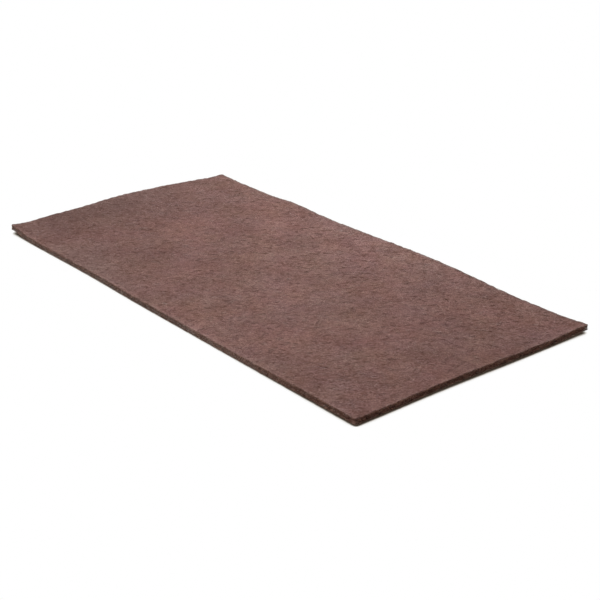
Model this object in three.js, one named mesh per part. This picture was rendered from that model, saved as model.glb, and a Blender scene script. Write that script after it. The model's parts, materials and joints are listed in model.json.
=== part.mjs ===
import * as THREE from 'three';
import { mergeVertices } from 'three/addons/utils/BufferGeometryUtils.js';

// Floor scrubbing pad: one rectangular sheet of bonded fibre web, die-cut to size.
// Millimetres. X runs along the pad, Y across it and +Z up. The origin is on the floor
// below the middle of the pad, whose flat part rests there.

// Cut size
const pad_length = 711.2;
const pad_width = 355.6;
const pad_thickness = 7;

// Cut edge: plan radius of the corners, radius where the faces turn into the side,
// and how far the knife leaves the middle of the side drawn in
const corner_radius = 2;
const rim_radius = 1;
const side_hollow = 0.4;

// Long edge at -Y drawn in from a straight line, and the place and reach of that bow
const long_edge_bow = 1.5;
const long_edge_bow_x = -165;
const long_edge_bow_reach = 140;

// Short edge at +X drawn in from a straight line, and the place and reach of that bow
const short_edge_bow = 1.6;
const short_edge_bow_y = -55;
const short_edge_bow_reach = 130;

// Where the waved sheet stands off the floor. Each lift is measured at its highest place,
// on an edge, and dies away smoothly to nothing at its reach.
const half_length = pad_length / 2;
const half_width = pad_width / 2;
const lifts = {
  far_end_arch: { x: -half_length, y: 12, reach_x: 150, reach_y: 188, rise: 8 },
  far_end_shoulder: { x: -half_length, y: -135, reach_x: 90, reach_y: 95, rise: 3 },
  curled_corner: { x: -half_length, y: -half_width, reach_x: 36, reach_y: 20, rise: 3.6 },
  far_corner: { x: -half_length, y: half_width, reach_x: 70, reach_y: 20, rise: 0.9 },
  back_edge_ripple: { x: -178, y: half_width, reach_x: 58, reach_y: 70, rise: 2.6 },
  back_edge_swell: { x: -100, y: half_width, reach_x: 165, reach_y: 90, rise: 1.9 },
  back_edge_hump: { x: 96, y: half_width, reach_x: 200, reach_y: 130, rise: 6.2 },
  near_end: { x: half_length, y: 0, reach_x: 240, reach_y: 300, rise: 2.6 },
  near_corner: { x: half_length, y: -half_width, reach_x: 240, reach_y: 60, rise: 1.2 },
  back_corner: { x: half_length, y: half_width, reach_x: 60, reach_y: 62, rise: 3.4 },
};

// Finish: dark maroon brown, with no shine
const web_colour = 0x7b615b;
const web_roughness = 0.95;

// Mesh lines: steps along, across and down the side between the rims, steps in each half
// of a rim, and how much closer the lines lie towards the edges
const length_steps = 34;
const width_steps = 20;
const side_steps = 2;
const rim_steps = 2;
const edge_crowding = 0.5;

// Falls from 1 at offset 0 to 0 at the reach, level at both
function fade(offset, reach) {
  const share = Math.min(Math.abs(offset) / reach, 1);
  return (1 + Math.cos(Math.PI * share)) / 2;
}

function liftAt(x, y) {
  let height = 0;
  for (const lift of Object.values(lifts)) {
    height += lift.rise * fade(x - lift.x, lift.reach_x) * fade(y - lift.y, lift.reach_y);
  }
  return height;
}

// Places of the mesh lines from -half to +half: crowded towards the edges, then one line
// where the corner ends, one where the rim starts and one for each step of the rim
function planLines(half, steps) {
  const inner = half - corner_radius;
  const lines = [];
  for (let i = 0; i <= steps; i++) {
    const share = (2 * i) / steps - 1;
    const crowded = Math.sin((share * Math.PI) / 2);
    lines.push(inner * ((1 - edge_crowding) * share + edge_crowding * crowded));
  }
  for (let i = 0; i <= rim_steps; i++) {
    const place = half - rim_radius * (1 - i / rim_steps);
    lines.push(place);
    lines.unshift(-place);
  }
  return lines;
}

// Heights of the mesh lines down the side, closer in the two rims
function sideLines() {
  const straight = pad_thickness - 2 * rim_radius;
  const lines = [];
  for (let i = 0; i < rim_steps; i++) {
    lines.push((rim_radius * i) / rim_steps);
  }
  for (let i = 0; i <= side_steps; i++) {
    lines.push(rim_radius + (straight * i) / side_steps);
  }
  for (let i = 1; i <= rim_steps; i++) {
    lines.push(pad_thickness - rim_radius * (1 - i / rim_steps));
  }
  return lines;
}

// Section of the cut edge: a point of the square-edged block, given by its distance in from
// the edge and its height, moves to its place on the round rim or the hollow side
function edgeSection(inset, z) {
  const depth = Math.min(z, pad_thickness - z);
  if (inset >= rim_radius) {
    return { inset, z };
  }
  if (depth >= rim_radius) {
    const share = (z - pad_thickness / 2) / (pad_thickness / 2 - rim_radius);
    return { inset: side_hollow * (1 - share ** 2), z };
  }
  const turn = inset > depth ? 1 - inset / rim_radius : 1 + depth / rim_radius;
  const angle = (turn * Math.PI) / 4;
  const drop = rim_radius * (1 - Math.cos(angle));
  return {
    inset: rim_radius * (1 - Math.sin(angle)),
    z: z > pad_thickness / 2 ? pad_thickness - drop : drop,
  };
}

// Moves a point of the square-edged block to its place on the pad. Near the edge, square
// rings round the plan become rings with round corners, each at its inset from the edge.
function padPoint(point) {
  const in_x = half_length - Math.abs(point.x);
  const in_y = half_width - Math.abs(point.y);
  const section = edgeSection(Math.min(in_x, in_y), point.z);
  const ring = new THREE.Vector2(Math.max(corner_radius - in_x, 0), Math.max(corner_radius - in_y, 0));
  if (ring.length() > 0) {
    ring.setLength(corner_radius - section.inset);
  }
  let x = Math.min(Math.abs(point.x), half_length - corner_radius) + ring.x;
  let y = Math.min(Math.abs(point.y), half_width - corner_radius) + ring.y;
  x *= Math.sign(point.x);
  y *= Math.sign(point.y);
  const bow_x = short_edge_bow * fade(y - short_edge_bow_y, short_edge_bow_reach);
  const bow_y = long_edge_bow * fade(x - long_edge_bow_x, long_edge_bow_reach);
  const z = section.z + liftAt(x, y);
  x -= bow_x * Math.max(x / half_length, 0);
  y += bow_y * Math.max(-y / half_width, 0);
  return new THREE.Vector3(x, y, z);
}

// A block with a line at each place, shaped point by point
function padGeometry() {
  const x_lines = planLines(half_length, length_steps);
  const y_lines = planLines(half_width, width_steps);
  const z_lines = sideLines();
  const x_steps = x_lines.length - 1;
  const y_steps = y_lines.length - 1;
  const z_steps = z_lines.length - 1;
  const block = new THREE.BoxGeometry(1, 1, 1, x_steps, y_steps, z_steps);
  const positions = block.getAttribute('position');
  const point = new THREE.Vector3();
  for (let i = 0; i < positions.count; i++) {
    point.fromBufferAttribute(positions, i).addScalar(0.5);
    point.x = x_lines[Math.round(point.x * x_steps)];
    point.y = y_lines[Math.round(point.y * y_steps)];
    point.z = z_lines[Math.round(point.z * z_steps)];
    const placed = padPoint(point);
    positions.setXYZ(i, placed.x, placed.y, placed.z);
  }
  block.deleteAttribute('normal');
  block.deleteAttribute('uv');
  const merged = mergeVertices(block);
  merged.computeVertexNormals();
  return merged;
}

const maroon_web = new THREE.MeshStandardMaterial({
  color: web_colour,
  roughness: web_roughness,
  metalness: 0,
});
const scrubbing_pad = new THREE.Mesh(padGeometry(), maroon_web);
scrubbing_pad.name = 'scrubbing_pad';

const floor_scrubbing_pad = new THREE.Group();
floor_scrubbing_pad.add(scrubbing_pad);

export default floor_scrubbing_pad;
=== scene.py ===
# Floor scrubbing pad: one die-cut sheet of crimped fibres bonded with gritty maroon resin.
# Metres. X runs along the pad, Y across it and +Z up. The pad's flat part rests on the floor.
import json
import math

import bmesh
import bpy
import numpy as np
from mathutils import Matrix, Vector, noise


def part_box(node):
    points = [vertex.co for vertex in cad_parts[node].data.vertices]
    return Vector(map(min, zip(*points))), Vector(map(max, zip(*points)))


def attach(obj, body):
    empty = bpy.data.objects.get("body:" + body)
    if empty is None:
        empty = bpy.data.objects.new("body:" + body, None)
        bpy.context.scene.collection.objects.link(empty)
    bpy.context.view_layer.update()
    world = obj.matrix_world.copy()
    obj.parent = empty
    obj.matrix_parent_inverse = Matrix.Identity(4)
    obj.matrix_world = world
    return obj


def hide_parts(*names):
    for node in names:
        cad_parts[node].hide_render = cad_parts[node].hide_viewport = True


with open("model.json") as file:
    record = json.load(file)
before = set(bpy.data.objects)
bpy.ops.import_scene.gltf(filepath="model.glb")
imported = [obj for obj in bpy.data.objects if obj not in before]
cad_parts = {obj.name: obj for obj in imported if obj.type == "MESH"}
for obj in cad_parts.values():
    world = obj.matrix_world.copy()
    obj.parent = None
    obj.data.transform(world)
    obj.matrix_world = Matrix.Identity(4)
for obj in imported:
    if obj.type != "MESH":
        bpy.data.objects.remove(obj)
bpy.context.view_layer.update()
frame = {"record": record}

MM = 0.001

# Cut size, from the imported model
pad_low, pad_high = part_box("scrubbing_pad")
pad_length = pad_high.x - pad_low.x
pad_width = pad_high.y - pad_low.y
half_length = pad_length / 2
half_width = pad_width / 2
mounts = {mount["name"]: mount for mount in frame["record"]["mounts"]}
pad_thickness = mounts["driver_face"]["pos_m"][2]

# Cut edge: radius of the corners in plan, radius where the faces turn into the side, and how
# far the middle of the side is drawn in
corner_radius = 2 * MM
rim_radius = 0.8 * MM
side_hollow = 0.4 * MM

# Edges that the knife left drawn in from a straight line: how far, where and over what reach
long_edge_bow = dict(depth=1.5 * MM, middle=-165 * MM, reach=140 * MM)
short_edge_bow = dict(depth=1.6 * MM, middle=-55 * MM, reach=130 * MM)

# Where the waved sheet stands off the floor, in millimetres: each lift's highest place x, y,
# its reach along and across, and its rise
lifts_mm = {
    "far_end_arch": (-355.6, 12, 150, 188, 8),
    "far_end_shoulder": (-355.6, -135, 90, 95, 3.5),
    "curled_corner": (-355.6, -177.8, 36, 24, 3),
    "far_end_middle": (-355.6, -25, 90, 65, 0.6),
    "far_end_rise": (-355.6, 100, 90, 70, 0.6),
    "far_corner": (-355.6, 177.8, 70, 20, 0.9),
    "far_edge_rise": (-235, 177.8, 150, 60, 0.5),
    "back_edge_ripple": (-178, 177.8, 58, 70, 2.6),
    "back_edge_swell": (-100, 177.8, 165, 90, 1.9),
    "back_edge_hump": (96, 177.8, 200, 130, 6.2),
    "near_end": (355.6, 0, 240, 300, 2.6),
    "near_corner": (355.6, -177.8, 240, 60, 1),
    "back_corner": (355.6, 177.8, 60, 62, 2.8),
    "back_corner_bump": (288, 177.8, 36, 40, 1.1),
}

# The photograph's viewpoint, fitted to the pad's four corners
view_azimuth = math.radians(50.77)
view_elevation = math.radians(23.681)
view_roll = math.radians(-0.089)
view_place = (1.2992, -1.0208, 0.6951)
lens_length = 85.005
sensor_width = 36
sight_limit = 60


def make_camera():
    camera_data = bpy.data.cameras.new("camera")
    camera_data.lens = lens_length
    camera_data.sensor_width = sensor_width
    camera_data.clip_end = sight_limit
    camera = bpy.data.objects.new("camera", camera_data)
    bpy.context.collection.objects.link(camera)
    tilt = Matrix.Rotation(math.pi / 2 - view_elevation, 4, "X")
    turn = Matrix.Rotation(view_azimuth, 4, "Z")
    roll = Matrix.Rotation(view_roll, 4, "Z")
    camera.matrix_world = Matrix.Translation(view_place) @ turn @ tilt @ roll
    bpy.context.scene.camera = camera


make_camera()


# Falls from 1 at offset 0 to 0 at the reach, level at both
def fade(offset, reach):
    share = np.minimum(np.abs(offset) / reach, 1)
    return (1 + np.cos(np.pi * share)) / 2


def lift_at(x, y):
    height = np.zeros_like(x)
    for place_x, place_y, reach_x, reach_y, rise in lifts_mm.values():
        along = fade(x - place_x * MM, reach_x * MM)
        height += rise * MM * along * fade(y - place_y * MM, reach_y * MM)
    return height


# How far the corners of the loose web are drawn out along both edges, in millimetres: each
# corner's place x, y and its draw
corner_draws_mm = {
    "left": (-355.6, -177.8, 0.8),
    "near": (355.6, -177.8, 0.2),
    "back": (355.6, 177.8, 1.35),
    "far": (-355.6, 177.8, 0.8),
}
corner_draw_reach = 16 * MM


def draw_corners(x, y):
    drawn_x, drawn_y = x.copy(), y.copy()
    for place_x, place_y, draw in corner_draws_mm.values():
        along = fade(x - place_x * MM, corner_draw_reach)
        share = along * fade(y - place_y * MM, corner_draw_reach)
        drawn_x += draw * MM * share * math.copysign(1, place_x)
        drawn_y += draw * MM * share * math.copysign(1, place_y)
    return drawn_x, drawn_y


# Lays points of the flat, straight-edged sheet on the floor as the real sheet lies
def lay_on_floor(points):
    x, y, z = points.T
    bow_x = short_edge_bow["depth"] * fade(y - short_edge_bow["middle"], short_edge_bow["reach"])
    bow_y = long_edge_bow["depth"] * fade(x - long_edge_bow["middle"], long_edge_bow["reach"])
    drawn_x, drawn_y = draw_corners(x, y)
    laid_x = drawn_x - bow_x * np.maximum(x / half_length, 0)
    laid_y = drawn_y + bow_y * np.maximum(-y / half_width, 0)
    return np.stack([laid_x, laid_y, z + lift_at(x, y)], axis=1)


# Waviness of a face of the loose web at places x, y of the flat sheet, about its mean height.
# Each scale is a patch size and a height, and comes from a place of its own in the noise
relief_scales = ((26 * MM, 0.10 * MM), (11 * MM, 0.07 * MM), (5.5 * MM, 0.05 * MM))
relief_seed_step = 7.3
driver_seed = 1.5
working_seed = 31.5


def noise_at(x, y, z):
    return np.array([noise.noise(spot) for spot in zip(x, y, z)])


def web_relief(x, y, seed):
    height = np.zeros(len(x))
    for step, (patch, rise) in enumerate(relief_scales):
        level = np.full(len(x), seed + relief_seed_step * step)
        height += rise * noise_at(x / patch, y / patch, level)
    return height


# The strands below the working face hold it this far off the floor, and it has this share of
# the driver face's waviness
working_clearance = 0.15 * MM
working_relief = 0.5

# The knife left the web standing a little proud, and unevenly, along the edges of the driver
# face
edge_lip = 0.2 * MM
edge_lip_width = 7 * MM
edge_ripple = 1 * MM
edge_ripple_length = 7 * MM
edge_ripple_seed = 5.2


# Heights of the two faces of the flat sheet
def driver_face_at(x, y):
    inset = np.minimum(half_length - np.abs(x), half_width - np.abs(y))
    level = np.full(len(x), edge_ripple_seed)
    ripple = edge_ripple * noise_at(x / edge_ripple_length, y / edge_ripple_length, level)
    lip = (edge_lip + ripple) * fade(np.maximum(inset, 0), edge_lip_width)
    return pad_thickness + lip + web_relief(x, y, driver_seed)


def working_face_at(x, y):
    return working_clearance + working_relief * np.maximum(web_relief(x, y, working_seed), 0)


# Tone of the web at places of the flat sheet, 1 on average: broad darker and paler patches, in
# millimetres, each with its place x, y, its reach along and across, and its change. Those named
# lit or shaded are painted light and shade, and those named highlight are painted rim highlights
tone_patches_mm = {
    "shaded_left_end": (-355, -90, 190, 170, -0.29),
    "dull_left_middle": (-290, -30, 100, 150, -0.06),
    "pale_far_corner": (-345, 178, 70, 50, 0.13),
    "dull_front": (-170, -110, 120, 120, -0.12),
    "dark_band": (-140, -20, 40, 200, -0.075),
    "lit_centre": (-30, 60, 65, 130, 0.05),
    "lit_middle": (60, 80, 300, 240, 0.1),
    "pale_front": (60, -95, 45, 60, 0.04),
    "highlight_front_rim": (90, -178, 150, 14, 0.16),
    "highlight_near_rim": (200, -178, 150, 12, 0.06),
    "pale_right_rim": (356, 90, 14, 120, 0.1),
    "lit_back_edge": (0, 178, 450, 120, 0.19),
    "pale_back_spot": (200, 178, 60, 45, 0.1),
    "dull_right": (190, 40, 100, 110, -0.04),
    "dull_right_end": (355, 0, 75, 420, -0.07),
    "spot_near_end": (295, -20, 22, 16, -0.07),
    "spot_near_corner": (270, -110, 20, 18, -0.06),
    "spot_middle": (210, -60, 18, 15, -0.06),
}

# A paler band along the edge of the face: a painted highlight where the rim catches the light
face_rim_highlight = 0.14
face_rim_highlight_width = 7 * MM


def tone_and_light_at(x, y):
    inset = np.minimum(half_length - np.abs(x), half_width - np.abs(y))
    tone = 1 + face_rim_highlight * fade(np.maximum(inset, 0), face_rim_highlight_width)
    for place_x, place_y, reach_x, reach_y, change in tone_patches_mm.values():
        along = fade(x - place_x * MM, reach_x * MM)
        tone += change * along * fade(y - place_y * MM, reach_y * MM)
    return tone


# Raggedness of the die-cut side: how far torn layers stand in or out, the size of the torn
# places along the edge and down it, and how far and over what length the knife wandered
cut_raggedness = 0.4 * MM
cut_tear_length = 3.4 * MM
cut_layer_height = 1.3 * MM
knife_wander = 0.22 * MM
knife_wander_length = 38 * MM
cut_seed = 11.7

# The lower layers of the web stand out a little past the knife line. The frayed back corner
# loses this share of that, so it is drawn in
foot_flare = 0.6 * MM
foot_rounding = 1.2
back_corner_reach = 10 * MM


# Share, 0 to 1, of the frayed back corner at places of the flat sheet
def back_corner_at(x, y):
    return fade(x - half_length, back_corner_reach) * fade(y - half_width, back_corner_reach)


# Distance that the cut side at points stands out of the straight line of the knife
def cut_relief(points):
    x, y, z = points.T
    flare = foot_flare * fade(z, pad_thickness) * (1 - foot_rounding * back_corner_at(x, y))
    tears = noise_at(x / cut_tear_length, y / cut_tear_length, z / cut_layer_height + cut_seed)
    level = np.full(len(x), cut_seed)
    wander = noise_at(x / knife_wander_length, y / knife_wander_length, level)
    return flare + cut_raggedness * tears - knife_wander * np.abs(wander)


# The front side, at -Y, is darker below the rim, a painted shade under the overhanging face, and
# towards the near corner, where the rim keeps part of its tone. It is paler at its foot, painted
# light bounced up from the floor, and at its rim, a painted highlight
rim_shade = 0.15
rim_shade_height = 4.6 * MM
rim_shade_reach = 2.6 * MM
corner_shade = 0.46
corner_shade_reach = 230 * MM
corner_rim_kept = 0.7
foot_bounce_light = 0.12
foot_bounce_height = 2.6 * MM
front_side_rim_highlight = 0.2

# The other sides are darker all over, a painted shade, and paler at the rim, a painted highlight
side_shade = 0.12
side_rim_highlight = 0.6

# How far the painted rim highlight reaches down, and how far the front side's tone reaches round a
# corner
rim_highlight_reach = 2.2 * MM
side_reach = 4 * MM

# The frayed back corner is paler, a painted highlight on its round nose, and the near corner is
# paler, most of all at its foot, with painted light bounced up from the floor
back_corner_highlight = 1.6
near_corner_bounce_light = 1.4
near_corner_bounce_reach = 9 * MM
near_corner_bounce_height = 8 * MM


# Share, 0 to 1, of the painted bounce light on the near corner, most of all at its foot
def near_corner_bounce_at(x, y, z):
    corner = fade(x - half_length, near_corner_bounce_reach) * fade(y + half_width, near_corner_bounce_reach)
    return corner * fade(z, near_corner_bounce_height)


# Tone of the cut side at points of the flat sheet, 1 on average, with its painted shade, painted
# highlights and painted light bounced up from the floor
def cut_tone_and_light_at(x, y, z):
    front = fade(y + half_width, side_reach)
    below_rim = -rim_shade * fade(z - rim_shade_height, rim_shade_reach)
    rim = fade(z - pad_thickness, rim_highlight_reach)
    near_corner = -corner_shade * fade(x - half_length, corner_shade_reach)
    near_corner *= 1 - corner_rim_kept * rim
    foot = foot_bounce_light * fade(z, foot_bounce_height)
    front_change = below_rim + near_corner + foot + front_side_rim_highlight * rim
    other_change = side_rim_highlight * rim - side_shade
    corners = back_corner_highlight * back_corner_at(x, y) + near_corner_bounce_light * near_corner_bounce_at(x, y, z)
    return 1 + front * front_change + (1 - front) * other_change + corners


# Patches of the face where the web looks greyer, in millimetres, each with its place x, y, its
# reach along and across, and its greyness from 0 to 1
grey_patches_mm = {
    "left_end": (-355, -60, 140, 280, 0.85),
    "front": (-190, -178, 210, 150, 0.6),
}

# The edge of the face is grey on the far sides and less so on the near ones
grey_rim_width = 6 * MM
grey_near_rim = 0.25

# Greyness of the front side at its rim and how it grows towards the foot, its loss towards
# the near corner, and the greyness at the foot of the other sides
grey_front_least = 0.55
grey_front_height = 8 * MM
grey_front_loss = 0.65
grey_front_loss_reach = 400 * MM
grey_foot = 0.5
grey_foot_height = 2.5 * MM


# Greyness, 0 to 1, of the web at points of the flat sheet, given their share of the cut side
def greyness_at(x, y, z, cut):
    far_inset = np.minimum(half_length + x, half_width - y)
    near_inset = np.minimum(half_length - x, half_width + y)
    near_grey = grey_near_rim * fade(np.maximum(near_inset, 0), grey_rim_width)
    face_grey = np.maximum(fade(np.maximum(far_inset, 0), grey_rim_width), near_grey)
    for place_x, place_y, reach_x, reach_y, share in grey_patches_mm.values():
        along = fade(x - place_x * MM, reach_x * MM)
        face_grey = np.maximum(face_grey, share * along * fade(y - place_y * MM, reach_y * MM))
    front = fade(y + half_width, side_reach)
    front_grey = grey_front_least + (1 - grey_front_least) * fade(z, grey_front_height)
    front_grey *= 1 - grey_front_loss * fade(x - half_length, grey_front_loss_reach)
    foot_grey = grey_foot * fade(z, grey_foot_height)
    cut_grey = front * front_grey + (1 - front) * np.maximum(foot_grey, back_corner_at(x, y))
    return (1 - cut) * face_grey + cut * cut_grey


# Body mesh: coarse cells along and across the sheet, and cuts that split each cell of the
# driver face and of the cut edge
cells_along = 98
cells_across = 49
fine_cuts = 3

# How many cells in from the side the fine cells of the underside reach
fine_border = 1.5

# Share of the cells down the side that each of the two rims takes
rim_cells = 0.25


# Spreads a cell line's place in the unit block, -0.5 to 0.5, over the sheet: the last cell
# of each side is as wide as the corner radius
def spread_lines(place, half, cells):
    inner = 0.5 - 1 / cells
    middle = np.clip(place, -inner, inner) * (half - corner_radius) / inner
    last = np.sign(place) * np.maximum(np.abs(place) - inner, 0) * cells * corner_radius
    return middle + last


# Height of a line on the side, given its share of the way up
def spread_height(share):
    straight = pad_thickness - 2 * rim_radius
    low = np.minimum(share, rim_cells) / rim_cells * rim_radius
    middle = np.clip(share - rim_cells, 0, 1 - 2 * rim_cells) / (1 - 2 * rim_cells) * straight
    high = np.maximum(share - 1 + rim_cells, 0) / rim_cells * rim_radius
    return low + middle + high


# Section of the cut edge: points of a square-edged block, by their distance in from the edge
# and their height, move to their place on a round rim or on the hollow side
def edge_section(inset, z):
    depth = np.minimum(z, pad_thickness - z)
    share = (z - pad_thickness / 2) / (pad_thickness / 2 - rim_radius)
    hollow = side_hollow * (1 - share**2)
    turn = np.where(inset > depth, 1 - inset / rim_radius, 1 + depth / rim_radius)
    angle = turn * math.pi / 4
    drop = rim_radius * (1 - np.cos(angle))
    rim_inset = rim_radius * (1 - np.sin(angle))
    rim_z = np.where(z > pad_thickness / 2, pad_thickness - drop, drop)
    in_rim = (inset < rim_radius) & (depth < rim_radius)
    on_side = (inset < rim_radius) & ~in_rim
    new_inset = np.where(in_rim, rim_inset, np.where(on_side, hollow, inset))
    return new_inset, np.where(in_rim, rim_z, z)


# Share of the cut side's look that its outermost points at the two faces have
rim_cut_share = 0.25


# Share, 0 to 1, of the cut side's look and raggedness at points of the square-edged block
def on_cut(block):
    x, y, z = block.T
    inset = np.minimum(half_length - np.abs(x), half_width - np.abs(y))
    depth = np.minimum(z, pad_thickness - z)
    return np.clip(1 - inset / rim_radius, 0, 1) * np.clip(depth / rim_radius, rim_cut_share, 1)


# Turns the square rings of a block's plan into rings with round corners, and gives its edge
# the section of the cut
def shape_edge(block):
    x, y, z = block.T
    in_x = half_length - np.abs(x)
    in_y = half_width - np.abs(y)
    inset, height = edge_section(np.minimum(in_x, in_y), z)
    inset = inset - on_cut(block) * cut_relief(block)
    ring_x = np.maximum(corner_radius - in_x, 0)
    ring_y = np.maximum(corner_radius - in_y, 0)
    size = np.hypot(ring_x, ring_y)
    scale = np.ones_like(size)
    np.divide(corner_radius - inset, size, out=scale, where=size > 0)
    new_x = np.minimum(np.abs(x), half_length - corner_radius) + ring_x * scale
    new_y = np.minimum(np.abs(y), half_width - corner_radius) + ring_y * scale
    return np.stack([new_x * np.sign(x), new_y * np.sign(y), height], axis=1)


def vertex_places(mesh):
    places = np.empty(len(mesh.vertices) * 3)
    mesh.vertices.foreach_get("co", places)
    return places.reshape(-1, 3)


def set_values(mesh, name, values):
    layer = mesh.attributes.new(name, "FLOAT", "POINT")
    layer.data.foreach_set("value", values.astype(np.float32))


# A piece of the pad: an object for a finished mesh, with its material, riding on the pad
def add_piece(name, mesh, material):
    mesh.materials.append(material)
    mesh.polygons.foreach_set("use_smooth", [True] * len(mesh.polygons))
    piece = bpy.data.objects.new(name, mesh)
    bpy.context.collection.objects.link(piece)
    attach(piece, "root")
    return piece


# A unit block with fine cells on top and round the side, and coarse ones below, where only
# the cells next to the side are fine
def sheet_block():
    bm = bmesh.new()
    bmesh.ops.create_grid(bm, x_segments=cells_along, y_segments=cells_across, size=0.5)
    raised = bmesh.ops.extrude_face_region(bm, geom=bm.faces[:])["geom"]
    top = [v for v in raised if isinstance(v, bmesh.types.BMVert)]
    bmesh.ops.translate(bm, vec=(0, 0, 1), verts=top)
    uprights = [e for e in bm.edges if e.verts[0].co.z != e.verts[1].co.z]
    bmesh.ops.subdivide_edges(bm, edges=uprights, cuts=1, use_grid_fill=True)
    inner_x = 0.5 - fine_border / cells_along
    inner_y = 0.5 - fine_border / cells_across

    def under_middle(vert):
        return vert.co.z == 0 and abs(vert.co.x) < inner_x and abs(vert.co.y) < inner_y

    fine = [e for e in bm.edges if not any(under_middle(v) for v in e.verts)]
    bmesh.ops.subdivide_edges(bm, edges=fine, cuts=fine_cuts, use_grid_fill=True)
    bmesh.ops.recalc_face_normals(bm, faces=bm.faces[:])
    mesh = bpy.data.meshes.new("pad_body")
    bm.to_mesh(mesh)
    bm.free()
    return mesh


def make_body(material):
    mesh = sheet_block()
    unit = vertex_places(mesh)
    lines_x = spread_lines(unit[:, 0], half_length, cells_along)
    lines_y = spread_lines(unit[:, 1], half_width, cells_across)
    block = np.stack([lines_x, lines_y, spread_height(unit[:, 2])], axis=1)
    flat = shape_edge(block)
    x, y, z = flat.T
    share = z / pad_thickness
    flat[:, 2] = working_face_at(x, y) * (1 - share) + driver_face_at(x, y) * share
    mesh.vertices.foreach_set("co", lay_on_floor(flat).ravel())
    mesh.update()
    cut = on_cut(block)
    set_values(mesh, "cut_edge", cut)
    # The tone carries painted light and shade on the face and on the cut side, along with the web's
    # own tone
    set_values(mesh, "tone", tone_and_light_at(x, y) * (1 - cut + cut * cut_tone_and_light_at(x, y, z)))
    set_values(mesh, "greyness", greyness_at(x, y, z, cut))
    return add_piece("pad_body", mesh, material)


# Loose strands: resin-coated fibres, round enough with three sides, thinner at their ends.
# Points of their mesh that lie nearer than strand_merge become one
strand_points = 6
strand_sides = 3
strand_radius = (0.07 * MM, 0.13 * MM)
strand_taper = (0.55, 0.9, 1, 1, 0.9, 0.55)
strand_steps = np.linspace(0, 1, strand_points)
strand_merge = 1e-7
strand_seed = 29
rng = np.random.default_rng(strand_seed)


# Section of a strand: a ring of corners, each at 1 from its middle
def strand_section():
    data = bpy.data.curves.new("strand_section", "CURVE")
    ring = data.splines.new("POLY")
    ring.points.add(strand_sides - 1)
    ring.use_cyclic_u = True
    for corner in range(strand_sides):
        angle = -2 * math.pi * corner / strand_sides
        ring.points[corner].co = (math.cos(angle), math.sin(angle), 0, 1)
    return bpy.data.objects.new("strand_section", data)


# A curve with a line for each path of strand_points places, given the radius of each
def strand_lines(name, paths, radii, section):
    curve = bpy.data.curves.new(name, "CURVE")
    curve.dimensions = "3D"
    curve.bevel_mode = "OBJECT"
    curve.bevel_object = section
    curve.use_fill_caps = True
    weights = np.ones((len(paths), strand_points, 1))
    for path, radius in zip(np.concatenate([paths, weights], axis=2), radii):
        spline = curve.splines.new("POLY")
        spline.points.add(strand_points - 1)
        spline.points.foreach_set("co", path.ravel())
        spline.points.foreach_set("radius", radius * np.array(strand_taper))
    return bpy.data.objects.new(name, curve)


# One mesh of closed strands along paths, with a tone and a greyness for each strand and a
# share of the cut side's look for all
def strand_mesh(name, paths, tones, greyness, cut_share):
    section = strand_section()
    lines = strand_lines(name, paths, rng.uniform(*strand_radius, len(paths)), section)
    bpy.context.collection.objects.link(section)
    bpy.context.collection.objects.link(lines)
    graph = bpy.context.evaluated_depsgraph_get()
    mesh = bpy.data.meshes.new_from_object(lines.evaluated_get(graph))
    for used in (lines, section):
        data = used.data
        bpy.data.objects.remove(used)
        bpy.data.curves.remove(data)
    bm = bmesh.new()
    bm.from_mesh(mesh)
    bmesh.ops.remove_doubles(bm, verts=bm.verts[:], dist=strand_merge)
    bmesh.ops.recalc_face_normals(bm, faces=bm.faces[:])
    bm.to_mesh(mesh)
    bm.free()
    mesh.name = name
    each = len(mesh.vertices) // len(paths)
    set_values(mesh, "tone", np.repeat(tones, each))
    set_values(mesh, "greyness", np.repeat(greyness, each))
    set_values(mesh, "cut_edge", np.full(len(mesh.vertices), cut_share))
    return mesh


# Bend and crimp of a strand as shares of its length, and how many crimps it has
strand_bend = 0.16
strand_crimp = (0.02, 0.07)
strand_crimps = (1.0, 2.2)


# Lines of crimped strands in a plane, each with its middle point, heading and length
def crimped_lines(middle_x, middle_y, heading, length):
    count = len(middle_x)
    bend = rng.normal(0, strand_bend, count) * length
    crimp = rng.uniform(*strand_crimp, count) * length
    phase = rng.uniform(0, 2 * math.pi, count)
    turns = rng.uniform(*strand_crimps, count)
    share = strand_steps[None, :] - 0.5
    along = share * length[:, None]
    wave = np.sin(2 * math.pi * turns[:, None] * share + phase[:, None])
    bow = 4 * share**2 - 0.5
    aside = bend[:, None] * bow + crimp[:, None] * wave
    cos, sin = np.cos(heading)[:, None], np.sin(heading)[:, None]
    x = middle_x[:, None] + along * cos - aside * sin
    y = middle_y[:, None] + along * sin + aside * cos
    return x, y


# The strands lie at every heading, but more of them near the one that the web was laid along
lay_heading = math.radians(51)


# Turn from the web's heading, for a share from -1 to 1 that is spread evenly
def lay_swing(share):
    return math.pi / 2 * share * np.abs(share)


# Strands come in tufts of one to four that lie nearly alike: how far their middles and
# headings stray
tuft_most = 4
tuft_spread = 0.9 * MM
tuft_swing = 0.25


# Middle points and headings of strands in tufts
def tufts(count):
    sizes = rng.integers(1, tuft_most + 1, count)
    tuft = np.repeat(np.arange(count), sizes)[:count]
    x = rng.uniform(-half_length, half_length, count)[tuft] + rng.normal(0, tuft_spread, count)
    y = rng.uniform(-half_width, half_width, count)[tuft] + rng.normal(0, tuft_spread, count)
    heading = lay_heading + lay_swing(rng.uniform(-1, 1, count))[tuft]
    return x, y, heading + rng.normal(0, tuft_swing, count)


# Tone of the strands on the faces and in the cut edge, and how far it strays
face_strand_tone = 1.1
edge_strand_tone = 1
strand_tone_spread = 0.4

# The ends of a strand dip this far into the web, and its middle stands proud of it
strand_buried = 0.12 * MM
strand_arch = np.sin(math.pi * strand_steps)[None, :]

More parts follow.
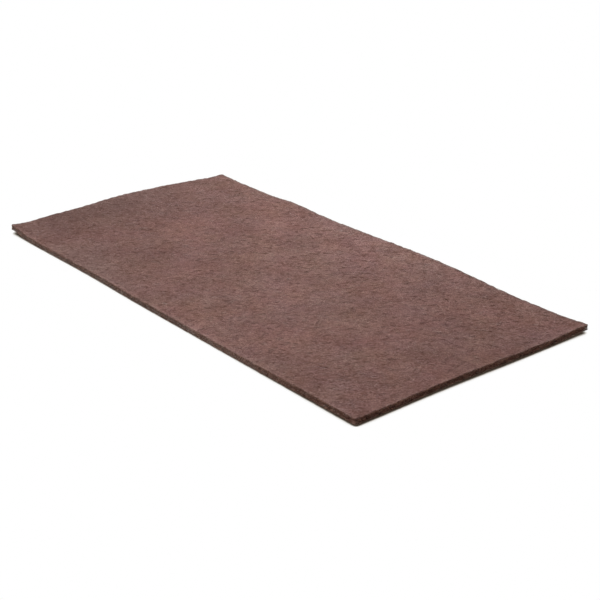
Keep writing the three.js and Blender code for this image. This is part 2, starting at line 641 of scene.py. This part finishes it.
# Strands on the faces: their length, how far they keep from the edge, how far the middle of
# one stands proud at most on each face, and the least share of that
face_strand_length = (5 * MM, 14 * MM)
face_margin = 0.7 * MM
driver_proud = 0.2 * MM
working_proud = 0.1 * MM
least_proud = 0.2


# Strands that lie on a face, with the side that faces outward, 1 up or -1 down
def face_strands(name, count, face_at, outward, proud, material):
    middle_x, middle_y, heading = tufts(count)
    length = rng.uniform(*face_strand_length, count)
    x, y = crimped_lines(middle_x, middle_y, heading, length)
    x = np.clip(x, face_margin - half_length, half_length - face_margin)
    y = np.clip(y, face_margin - half_width, half_width - face_margin)
    rise = rng.uniform(least_proud, 1, count)[:, None] * proud
    height = face_at(x.ravel(), y.ravel()).reshape(x.shape)
    z = height + outward * (rise * strand_arch - strand_buried * (1 - strand_arch))
    flat = np.stack([x, y, np.maximum(z, strand_radius[1])], axis=2).reshape(-1, 3)
    paths = lay_on_floor(flat).reshape(count, strand_points, 3)
    middle = flat.reshape(count, strand_points, 3).mean(axis=1)
    # Each strand takes the tone of the web below it, painted light and shade included
    tones = rng.normal(face_strand_tone, strand_tone_spread, count) * tone_and_light_at(*middle.T[:2])
    mesh = strand_mesh(name, paths, tones, greyness_at(*middle.T, 0), 0)
    return add_piece(name, mesh, material)


# Places and outward directions on the cut outline with round corners, by the distance along it
def outline(distance):
    run_x = 2 * (half_length - corner_radius)
    run_y = 2 * (half_width - corner_radius)
    arc = math.pi / 2 * corner_radius
    around = np.mod(distance, 2 * (run_x + run_y) + 4 * arc)
    turned = np.zeros_like(around)
    x = np.full_like(around, -run_x / 2)
    y = np.full_like(around, -run_y / 2)
    for side, run in enumerate((run_x, run_y, run_x, run_y)):
        heading = side * math.pi / 2
        step = np.clip(around, 0, run)
        x += step * math.cos(heading)
        y += step * math.sin(heading)
        turned += np.clip(around - run, 0, arc) / corner_radius
        around = around - run - arc
    angle = turned - math.pi / 2
    return x + corner_radius * np.cos(angle), y + corner_radius * np.sin(angle), angle


# Distance that the smooth cut side stands in from the knife line at a height: the rims and
# the hollow between them
def cut_inset(height):
    share = (height - pad_thickness / 2) / (pad_thickness / 2 - rim_radius)
    hollow = side_hollow * np.clip(1 - share**2, 0, 1)
    depth = np.minimum(height, pad_thickness - height)
    short = rim_radius - np.minimum(depth, rim_radius)
    return hollow + rim_radius - np.sqrt(rim_radius**2 - short**2)


# Strands in the cut edge: where their middles lie as shares of the thickness, how far they
# slope, their length, how near they come to the floor and to the driver face, how far they
# stand proud, the share of them with a free end, and how far that end stands out
edge_levels = (0.06, 0.97)
edge_slope = 0.22
edge_strand_length = (3 * MM, 10 * MM)
edge_floor_gap = 0.3 * MM
edge_face_gap = 0.05 * MM
edge_proud = (0.05 * MM, 0.4 * MM)
free_share = 0.3
free_stand = (0.2 * MM, 0.9 * MM)


# Strands in the cut edge: most lie along it, and some stand out with a free end
def edge_strands(name, count, material):
    around = rng.uniform(0, 4 * (half_length + half_width), count)
    level = rng.uniform(*edge_levels, count) * pad_thickness
    slope = rng.normal(0, edge_slope, count)
    length = rng.uniform(*edge_strand_length, count)
    distance, height = crimped_lines(around, level, slope, length)
    height = np.clip(height, edge_floor_gap, pad_thickness - edge_face_gap)
    proud = rng.uniform(*edge_proud, count)[:, None]
    is_free = (rng.uniform(0, 1, count) < free_share)[:, None]
    free = is_free * rng.uniform(*free_stand, count)[:, None]
    out = proud * strand_arch - strand_buried * (1 - strand_arch)
    out += free * strand_steps[None, :] ** 2
    out += foot_flare * fade(height, pad_thickness) - cut_inset(height)
    x, y, angle = outline(distance)
    flat = np.stack([x + out * np.cos(angle), y + out * np.sin(angle), height], axis=2)
    paths = lay_on_floor(flat.reshape(-1, 3)).reshape(count, strand_points, 3)
    middle = flat.mean(axis=1)
    # Each strand in the cut takes the cut side's tone, painted shade and highlights included
    tones = rng.normal(edge_strand_tone, strand_tone_spread, count) * cut_tone_and_light_at(*middle.T)
    mesh = strand_mesh(name, paths, tones, greyness_at(*middle.T, 1), 1)
    return add_piece(name, mesh, material)


# Node helpers: a node with settings, whose inputs are values or other nodes' outputs
def add_node(tree, kind, inputs=None, **settings):
    node = tree.nodes.new(kind)
    for name, value in settings.items():
        setattr(node, name, value)
    for socket, value in (inputs or {}).items():
        if isinstance(value, bpy.types.NodeSocket):
            tree.links.new(value, node.inputs[socket])
        else:
            node.inputs[socket].default_value = value
    return node


def maths(tree, operation, *values):
    return add_node(tree, "ShaderNodeMath", dict(enumerate(values)), operation=operation).outputs[0]


def vector_maths(tree, operation, *values):
    node = add_node(tree, "ShaderNodeVectorMath", dict(enumerate(values)), operation=operation)
    return node.outputs[0]


# A shader node group with named inputs and outputs, each given as a name and a kind of socket
def new_group(name, inputs, outputs):
    tree = bpy.data.node_groups.new(name, "ShaderNodeTree")
    for socket, kind in inputs.items():
        tree.interface.new_socket(socket, in_out="INPUT", socket_type="NodeSocket" + kind)
    for socket, kind in outputs.items():
        tree.interface.new_socket(socket, in_out="OUTPUT", socket_type="NodeSocket" + kind)
    given = tree.nodes.new("NodeGroupInput").outputs
    wanted = tree.nodes.new("NodeGroupOutput").inputs
    return tree, given, wanted


def use_group(tree, group, inputs):
    return add_node(tree, "ShaderNodeGroup", inputs, node_tree=group).outputs


# Pattern of crossing strands: how many headings it has and how far they swing, how far apart
# in the noise they are taken, and the noise values at which a strand starts and is full
lay_headings = 6
lay_widest = 0.7
lay_apart = (173, 51, 97)
lay_detail = 2.0
lay_start = 0.5
lay_full = 0.71

# Noise that crimps the pattern: how often it turns in a strand's length, its detail and its
# middle value
crimp_rate = 1.6
crimp_detail = 1.0
noise_middle = (0.5, 0.5, 0.5)


# Crossing crimped strands: noise stretched along several headings, where the highest one
# lies on top
def strand_lay_group():
    inputs = {"Position": "Vector", "Width": "Float", "Length": "Float", "Crimp": "Float"}
    tree, given, wanted = new_group("strand_lay", inputs, {"Strands": "Float"})
    rate = maths(tree, "DIVIDE", crimp_rate, given["Length"])
    slow = {"Vector": given["Position"], "Scale": rate, "Detail": crimp_detail}
    bends = add_node(tree, "ShaderNodeTexNoise", slow)
    centred = vector_maths(tree, "SUBTRACT", bends.outputs["Color"], noise_middle)
    sway = maths(tree, "MULTIPLY", given["Crimp"], given["Length"])
    bent = add_node(tree, "ShaderNodeVectorMath", {0: centred, "Scale": sway}, operation="SCALE")
    crimped = vector_maths(tree, "ADD", given["Position"], bent.outputs[0])
    strand = {"X": given["Length"], "Y": given["Width"], "Z": given["Width"]}
    size = add_node(tree, "ShaderNodeCombineXYZ", strand)
    highest = 0.0
    for step in np.linspace(-lay_widest, lay_widest, lay_headings):
        turn = {"Vector": crimped, "Angle": -lay_heading - float(lay_swing(step))}
        turned = add_node(tree, "ShaderNodeVectorRotate", turn, rotation_type="Z_AXIS")
        stretched = vector_maths(tree, "DIVIDE", turned.outputs[0], size.outputs[0])
        place = tuple(apart * step for apart in lay_apart)
        moved = vector_maths(tree, "ADD", stretched, place)
        fine = {"Vector": moved, "Scale": 1.0, "Detail": lay_detail}
        streaks = add_node(tree, "ShaderNodeTexNoise", fine)
        highest = maths(tree, "MAXIMUM", highest, streaks.outputs["Fac"])
    levels = {"Value": highest, "From Min": lay_start, "From Max": lay_full}
    spread = add_node(tree, "ShaderNodeMapRange", levels)
    tree.links.new(spread.outputs[0], wanted["Strands"])
    return tree


# Pattern of soft patches: where in the noise each is taken, its detail, and the noise values
# that become -1 and 1
mottle_places = {"Tone": (0, 0, 0), "Red": (3.1, 1.7, 0.4), "Blue": (1.3, 4.6, 0.9)}
mottle_detail = 4.0
mottle_roughness = 0.7
mottle_low = 0.3
mottle_high = 0.7


# Soft patches where the web is denser or looser, and where its resin is redder or greyer
def mottle_group():
    inputs = {"Position": "Vector", "Patch": "Float"}
    outputs = {socket: "Float" for socket in mottle_places}
    tree, given, wanted = new_group("web_mottle", inputs, outputs)
    rate = maths(tree, "DIVIDE", 1.0, given["Patch"])
    cloud = {"Scale": rate, "Detail": mottle_detail, "Roughness": mottle_roughness}
    levels = {"From Min": mottle_low, "From Max": mottle_high, "To Min": -1.0}
    for socket, place in mottle_places.items():
        moved = vector_maths(tree, "ADD", given["Position"], place)
        patches = add_node(tree, "ShaderNodeTexNoise", {"Vector": moved, **cloud})
        value = patches.outputs["Fac"]
        spread = add_node(tree, "ShaderNodeMapRange", {"Value": value, **levels})
        tree.links.new(spread.outputs[0], wanted[socket])
    return tree


# Grains of grit in the resin
def grit_group():
    inputs = {"Position": "Vector", "Grain": "Float"}
    tree, given, wanted = new_group("resin_grit", inputs, {"Grit": "Float"})
    rate = maths(tree, "DIVIDE", 1.0, given["Grain"])
    cells = add_node(tree, "ShaderNodeTexVoronoi", {"Vector": given["Position"], "Scale": rate})
    parts = add_node(tree, "ShaderNodeSeparateColor", {"Color": cells.outputs["Color"]})
    tree.links.new(parts.outputs["Red"], wanted["Grit"])
    return tree


strand_lay = strand_lay_group()
web_mottle = mottle_group()
resin_grit = grit_group()

# Resin colours: deep between the strands, on the strands, and on the ones that lie free
deep_maroon = (0.1144, 0.0539, 0.0449, 1)
strand_maroon = (0.2707, 0.1466, 0.1261, 1)
free_maroon = (0.2609, 0.1466, 0.1261)

# Tints that the colours are multiplied by: on the cut side, and where the web looks greyer on
# the faces and on the cut side
cut_tint = (1.09, 0.97, 0.79, 1)
grey_tint = (0.87, 1.035, 1.07, 1)
cut_grey_tint = (0.75, 1.05, 1.08, 1)

# Finish: nearly no shine
web_roughness = 0.95
web_specular = 0.15

# How fast red, green and blue follow the brightness: thick resin is dark and red, and thin
# resin pale and greyish
resin_depth = (0.8, 1.04, 1.1)

# Sizes of the patterns: fine strands, clumps of strands, patches and grains, and the sway of
# the strands as a share of their length
fine_width = 0.3 * MM
fine_length = 4 * MM
clump_width = 0.8 * MM
clump_length = 13 * MM
patch_size = 60 * MM
grain_size = 1 * MM
pattern_crimp = 0.3

# How strongly each pattern changes the brightness or colour, and the values of clumps and grit
# that leave it as it is. On the cut side the clumps show more strongly and the web is darker, a
# painted shade in its open pores
mottle_share = 0.18
red_share = 0.055
blue_share = 0.07
clump_middle = 0.515
clump_share = 1.25
cut_clump_share = 0.9
grit_middle = 0.5
grit_share = 0.64
cut_edge_share = -0.1

# Height of each pattern in the bump
fine_bump = 0.08 * MM
clump_bump = 0.03 * MM
grit_bump = 0.02 * MM


def new_material(name):
    material = bpy.data.materials.new(name)
    material.use_nodes = True
    tree = material.node_tree
    shader = tree.nodes["Principled BSDF"]
    place = add_node(tree, "ShaderNodeTexCoord").outputs["Object"]
    return material, tree, shader, place


def attribute(tree, name):
    return add_node(tree, "ShaderNodeAttribute", attribute_name=name).outputs["Fac"]


# 1 plus a share of a value about its middle
def about_one(tree, value, middle, share):
    return maths(tree, "MULTIPLY_ADD", maths(tree, "SUBTRACT", value, middle), share, 1.0)


# Sockets of a Mix node for colours: its share and two colours, and its result. The sockets
# for numbers and vectors come between them
mix_share = 0
mix_first = 6
mix_second = 7
mix_result = 2


def mix_colours(tree, share, first, second):
    inputs = {mix_share: share, mix_first: first, mix_second: second}
    return add_node(tree, "ShaderNodeMix", inputs, data_type="RGBA").outputs[mix_result]


# Brightness of the web where it is: its tone, the cut, the clumps and the grit
def web_brightness(tree, clumps, grit):
    cut = attribute(tree, "cut_edge")
    # The cut side is darker: painted shade in its open pores
    darker = about_one(tree, cut, 0.0, cut_edge_share)
    brightness = maths(tree, "MULTIPLY", attribute(tree, "tone"), darker)
    contrast = maths(tree, "MULTIPLY_ADD", cut, cut_clump_share, clump_share)
    clumped = about_one(tree, clumps, clump_middle, contrast)
    brightness = maths(tree, "MULTIPLY", brightness, clumped)
    return maths(tree, "MULTIPLY", brightness, about_one(tree, grit, grit_middle, grit_share))


# A colour with the tint and tone of the web's patches, times a brightness
def patchy(tree, colour, place, brightness):
    patches = use_group(tree, web_mottle, {"Position": place, "Patch": patch_size})
    red = about_one(tree, patches["Red"], 0.0, red_share)
    blue = about_one(tree, patches["Blue"], 0.0, blue_share)
    tint = add_node(tree, "ShaderNodeCombineXYZ", {"X": red, "Y": 1.0, "Z": blue}).outputs[0]
    cut = attribute(tree, "cut_edge")
    tint = mix_colours(tree, cut, tint, cut_tint)
    grey = mix_colours(tree, cut, grey_tint, cut_grey_tint)
    tint = mix_colours(tree, attribute(tree, "greyness"), tint, grey)
    mottle = about_one(tree, patches["Tone"], 0.0, mottle_share)
    level = maths(tree, "MULTIPLY", brightness, mottle)
    shaded = vector_maths(tree, "POWER", level, resin_depth)
    return vector_maths(tree, "MULTIPLY", colour, vector_maths(tree, "MULTIPLY", tint, shaded))


def lay_of(tree, place, width, length):
    sizes = {"Position": place, "Width": width, "Length": length, "Crimp": pattern_crimp}
    return use_group(tree, strand_lay, sizes)["Strands"]


def set_finish(shader):
    shader.inputs["Roughness"].default_value = web_roughness
    shader.inputs["Specular IOR Level"].default_value = web_specular


# The web itself: a lay of fine strands over deeper, darker ones, gathered in clumps
def make_web_material():
    material, tree, shader, place = new_material("maroon_web")
    fine = lay_of(tree, place, fine_width, fine_length)
    clumps = lay_of(tree, place, clump_width, clump_length)
    grit = use_group(tree, resin_grit, {"Position": place, "Grain": grain_size})["Grit"]
    strands = mix_colours(tree, fine, deep_maroon, strand_maroon)
    colour = patchy(tree, strands, place, web_brightness(tree, clumps, grit))
    tree.links.new(colour, shader.inputs["Base Color"])
    height = maths(tree, "MULTIPLY", fine, fine_bump)
    height = maths(tree, "MULTIPLY_ADD", clumps, clump_bump, height)
    height = maths(tree, "MULTIPLY_ADD", grit, grit_bump, height)
    bump = add_node(tree, "ShaderNodeBump", {"Height": height, "Strength": 1.0, "Distance": 1.0})
    tree.links.new(bump.outputs[0], shader.inputs["Normal"])
    set_finish(shader)
    return material


# Strands that lie free of the web: each has its own tone, with grit along it
def make_strand_material():
    material, tree, shader, place = new_material("resin_strands")
    clumps = lay_of(tree, place, clump_width, clump_length)
    grit = use_group(tree, resin_grit, {"Position": place, "Grain": grain_size})["Grit"]
    colour = patchy(tree, free_maroon, place, web_brightness(tree, clumps, grit))
    tree.links.new(colour, shader.inputs["Base Color"])
    set_finish(shader)
    return material


# The photograph's bright sweep: to the camera it is white wherever light reaches it, and dark
# only where the pad shuts the light out. Everything else sees plain white paint
floor_half_size = 30
floor_paint = (0.9, 0.9, 0.9, 1)
white = (1, 1, 1, 1)

# The dark line at the pad: how near the pad has to be, the shares of open sky from which the
# floor is white and below which it is darkest, and its colours there and half way
shadow_reach = 14 * MM
shadow_samples = 16
open_sky = 0.67
shut_sky = 0.36
half_lit = 0.5
floor_shade = (0.05, 0.035, 0.026, 1)
floor_half_shade = (0.46, 0.43, 0.375, 1)


def make_floor():
    bm = bmesh.new()
    bmesh.ops.create_grid(bm, x_segments=1, y_segments=1, size=floor_half_size)
    mesh = bpy.data.meshes.new("floor")
    bm.to_mesh(mesh)
    bm.free()
    material = bpy.data.materials.new("pale_floor")
    material.use_nodes = True
    tree = material.node_tree
    tree.nodes.remove(tree.nodes["Principled BSDF"])
    reach = {"Distance": shadow_reach}
    sky = add_node(tree, "ShaderNodeAmbientOcclusion", reach, samples=shadow_samples)
    light = {"Value": sky.outputs["AO"], "From Min": shut_sky, "From Max": open_sky}
    lit = add_node(tree, "ShaderNodeMapRange", light).outputs[0]
    ramp = add_node(tree, "ShaderNodeValToRGB", {"Fac": lit})
    ramp.color_ramp.elements[0].color = floor_shade
    ramp.color_ramp.elements.new(half_lit).color = floor_half_shade
    ramp.color_ramp.elements[2].color = white
    glow = add_node(tree, "ShaderNodeEmission", {"Color": ramp.outputs["Color"]})
    paint = add_node(tree, "ShaderNodeBsdfDiffuse", {"Color": floor_paint})
    seen = add_node(tree, "ShaderNodeLightPath").outputs["Is Camera Ray"]
    sides = {0: seen, 1: paint.outputs[0], 2: glow.outputs[0]}
    surface = add_node(tree, "ShaderNodeMixShader", sides)
    tree.links.new(surface.outputs[0], tree.nodes["Material Output"].inputs["Surface"])
    mesh.materials.append(material)
    floor = bpy.data.objects.new("floor", mesh)
    bpy.context.collection.objects.link(floor)


# Three round soft lights, from behind, from the left and from above, and none from the right:
# the azimuth and elevation each shines from, in degrees, and its power. Azimuth 0 shines along
# +Y and 270 along +X
soft_lights = {
    "back_softbox": (225, 32, 24),
    "left_softbox": (315, 45, 40),
    "top_softbox": (0, 90, 30),
}
light_distance = 2.5
light_size = 1.2


def soft_light(name, azimuth, elevation, power):
    light = bpy.data.lights.new(name, "AREA")
    light.shape = "DISK"
    light.size = light_size
    light.energy = power
    lamp = bpy.data.objects.new(name, light)
    bpy.context.collection.objects.link(lamp)
    turn = math.radians(azimuth)
    height = math.radians(elevation)
    toward_x = math.sin(turn) * math.cos(height)
    toward_y = -math.cos(turn) * math.cos(height)
    toward_light = Vector((toward_x, toward_y, math.sin(height)))
    lamp.location = toward_light * light_distance
    lamp.rotation_euler = (-toward_light).to_track_quat("-Z", "Y").to_euler()


# The pale room: how much brighter the camera sees it, and how much light it gives
room_seen = 0.99
room_light = 0.01


def light_studio():
    for name, (azimuth, elevation, power) in soft_lights.items():
        soft_light(name, azimuth, elevation, power)
    world = bpy.data.worlds.new("studio")
    world.use_nodes = True
    tree = world.node_tree
    background = tree.nodes["Background"]
    seen = add_node(tree, "ShaderNodeLightPath").outputs["Is Camera Ray"]
    strength = maths(tree, "MULTIPLY_ADD", seen, room_seen, room_light)
    tree.links.new(strength, background.inputs["Strength"])
    background.inputs["Color"].default_value = white
    bpy.context.scene.world = world
    bpy.context.scene.view_settings.view_transform = "Standard"


# Strands in each of the three parts on the driver face, on the working face and in the cut
driver_count = 6000
working_count = 2000
edge_count = 5000

make_floor()
light_studio()
web_material = make_web_material()
strand_material = make_strand_material()
pad = make_body(web_material)
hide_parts("scrubbing_pad")
for part in ("first", "second", "third"):
    name = f"driver_face_strands_{part}"
    face_strands(name, driver_count, driver_face_at, 1, driver_proud, strand_material)
name = "working_face_strands"
face_strands(name, working_count, working_face_at, -1, working_proud, strand_material)
edge_strands("cut_edge_strands", edge_count, strand_material)
